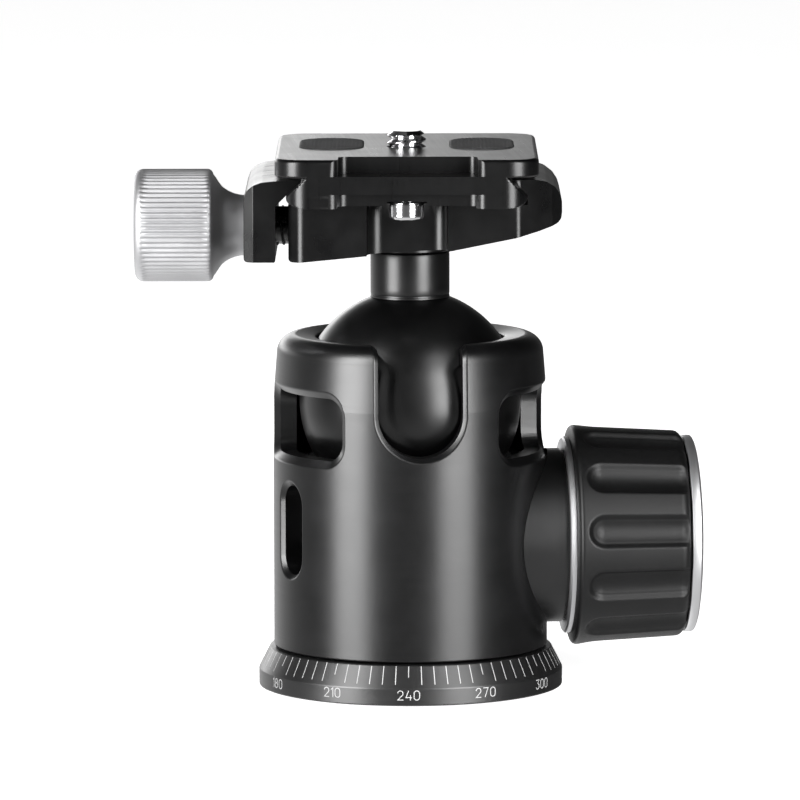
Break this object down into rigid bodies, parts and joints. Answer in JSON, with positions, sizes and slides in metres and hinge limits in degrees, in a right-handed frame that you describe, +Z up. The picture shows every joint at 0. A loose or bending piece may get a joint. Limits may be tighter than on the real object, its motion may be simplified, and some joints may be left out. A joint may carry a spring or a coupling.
{
  "type": "tripod ball head",
  "caption": "Tripod ball head: panning base, housing with drop notch and windows, fluted lock knob, ball, screw-knob dovetail clamp and quick release plate.",
  "frame": {"origin": "mouth of the tripod socket, at the centre of the bottom face", "axes": "+Z up along the pan axis, +X out along the main lock knob's axis, -Y through the drop notch"},
  "size_m": [0.0931, 0.0642, 0.0916],
  "materials": {
    "black_anodised": "satin black anodised",
    "clamp_black": "fine bead-blasted black anodised",
    "ball_black": "smooth hard black anodised",
    "clear_anodised": "clear anodised",
    "bare_aluminium": "turned",
    "steel": "machined stainless",
    "black_steel": "black oxide",
    "chrome": "polished plating",
    "brass": "machined",
    "polymer": "natural acetal",
    "black_plastic": "matte",
    "rubber": "soft moulded rubber",
    "pad_rubber": "pebbled rubber"
  },
  "bodies": {
    "base": {"base_ring": "black_anodised", "tripod_insert": "steel", "pan_flange": "steel", "flange_screws": "black_steel"},
    "housing": {"housing": "black_anodised", "capture_ring": "bare_aluminium", "bearing_plate": "bare_aluminium", "upper_seat_ring": "black_plastic", "lock_boss": "black_anodised", "lock_bushing": "brass", "pan_boss": "black_anodised", "wedge_spring": "steel", "pan_washers": "polymer"},
    "wedge": {"wedge": "black_steel"},
    "cup": {"ball_cup": "black_anodised", "cup_liner": "black_plastic"},
    "lock_slider": {"lock_thrust_washer": "black_plastic"},
    "lock_knob": {"lock_screw": "steel", "knob_core": "clear_anodised", "knob_grip": "rubber", "knob_cap": "clear_anodised", "knob_fixing_screw": "black_steel"},
    "pan_slider": {"pan_collar": "clear_anodised"},
    "pan_lock_knob": {"pan_screw": "steel", "pan_knob": "rubber"},
    "pan_shoe": {"pan_brake_shoe": "brass"},
    "ball": {"ball": "ball_black"},
    "stem": {"stem": "black_anodised"},
    "clamp": {"clamp_body": "clamp_black", "clamp_screw": "black_steel", "clamp_stud": "black_steel", "guide_pins": "black_steel", "jaw_springs": "steel"},
    "jaw": {"jaw": "clamp_black"},
    "clamp_knob": {"clamp_knob": "clear_anodised", "clamp_knob_bush": "brass"},
    "plate": {"plate": "clamp_black", "rubber_pads": "pad_rubber", "stop_screws": "chrome"},
    "camera_screw": {"camera_screw": "chrome", "screw_clip": "black_steel"}
  },
  "joints": [
    {"name": "pan", "type": "hinge", "parent": "base", "child": "housing", "pos_m": [0, 0, 0], "axis": [0, 0, 1], "continuous": true},
    {"name": "lock_advance", "type": "slide", "parent": "housing", "child": "lock_slider", "axis": [1, 0, 0], "range_m": [0, 0.00104]},
    {"name": "lock_turn", "type": "hinge", "parent": "lock_slider", "child": "lock_knob", "pos_m": [0.025, 0, 0.0243], "axis": [1, 0, 0], "range_deg": [0, 300]},
    {"name": "wedge_slide", "type": "slide", "parent": "housing", "child": "wedge", "axis": [1, 0, 0], "range_m": [0, 0.00104], "deforming": ["wedge_spring"]},
    {"name": "cup_lift", "type": "slide", "parent": "housing", "child": "cup", "axis": [0, 0, 1], "range_m": [-0.00018368, 0]},
    {"name": "pan_lock_advance", "type": "slide", "parent": "housing", "child": "pan_slider", "axis": [0, 1, 0], "range_m": [0, 0.0004]},
    {"name": "pan_lock_turn", "type": "hinge", "parent": "pan_slider", "child": "pan_lock_knob", "pos_m": [0, 0.026, 0.0119], "axis": [0, 1, 0], "range_deg": [0, 180.01]},
    {"name": "pan_shoe_slide", "type": "slide", "parent": "housing", "child": "pan_shoe", "axis": [0, 1, 0], "range_m": [0, 0.00040001]},
    {"name": "ball_roll", "type": "hinge", "parent": "housing", "child": "ball", "pos_m": [0, 0, 0.0471], "axis": [0, 1, 0], "range_deg": [-24, 24]},
    {"name": "ball_tilt", "type": "hinge", "parent": "ball", "child": "stem", "pos_m": [0, 0, 0.0471], "axis": [1, 0, 0], "range_deg": [-24, 90]},
    {"name": "ball_spin", "type": "hinge", "parent": "stem", "child": "clamp", "pos_m": [0, 0, 0.0471], "axis": [0, 0, 1], "continuous": true},
    {"name": "jaw_slide", "type": "slide", "parent": "clamp", "child": "jaw", "axis": [-0.9966, 0.0819, 0], "range_m": [0, 0.004], "deforming": ["jaw_springs"]},
    {"name": "clamp_turn", "type": "hinge", "parent": "jaw", "child": "clamp_knob", "pos_m": [-0.02691, 0.00221, 0.07595], "axis": [-0.9966, 0.0819, 0], "range_deg": [0, 1440.01]},
    {"name": "plate_slide", "type": "slide", "parent": "clamp", "child": "plate", "axis": [0.0819, 0.9966, 0], "range_m": [-0.0035, 0.0035]},
    {"name": "camera_screw_turn", "type": "hinge", "parent": "plate", "child": "camera_screw", "pos_m": [-0.0005, 0.00004, 0.08885], "axis": [0, 0, 1], "continuous": true}
  ],
  "couplings": [
    {"joint": "lock_advance", "follows": "lock_turn", "m_per_rad": 0.00019894},
    {"joint": "wedge_slide", "follows": "lock_turn", "m_per_rad": 0.00019894},
    {"joint": "cup_lift", "follows": "lock_turn", "m_per_rad": -0.000035079},
    {"joint": "pan_lock_turn", "follows": "pan_lock_advance", "rad_per_m": 7854},
    {"joint": "pan_shoe_slide", "follows": "pan_lock_advance", "ratio": 1},
    {"joint": "clamp_turn", "follows": "jaw_slide", "rad_per_m": 6283.2}
  ]
}
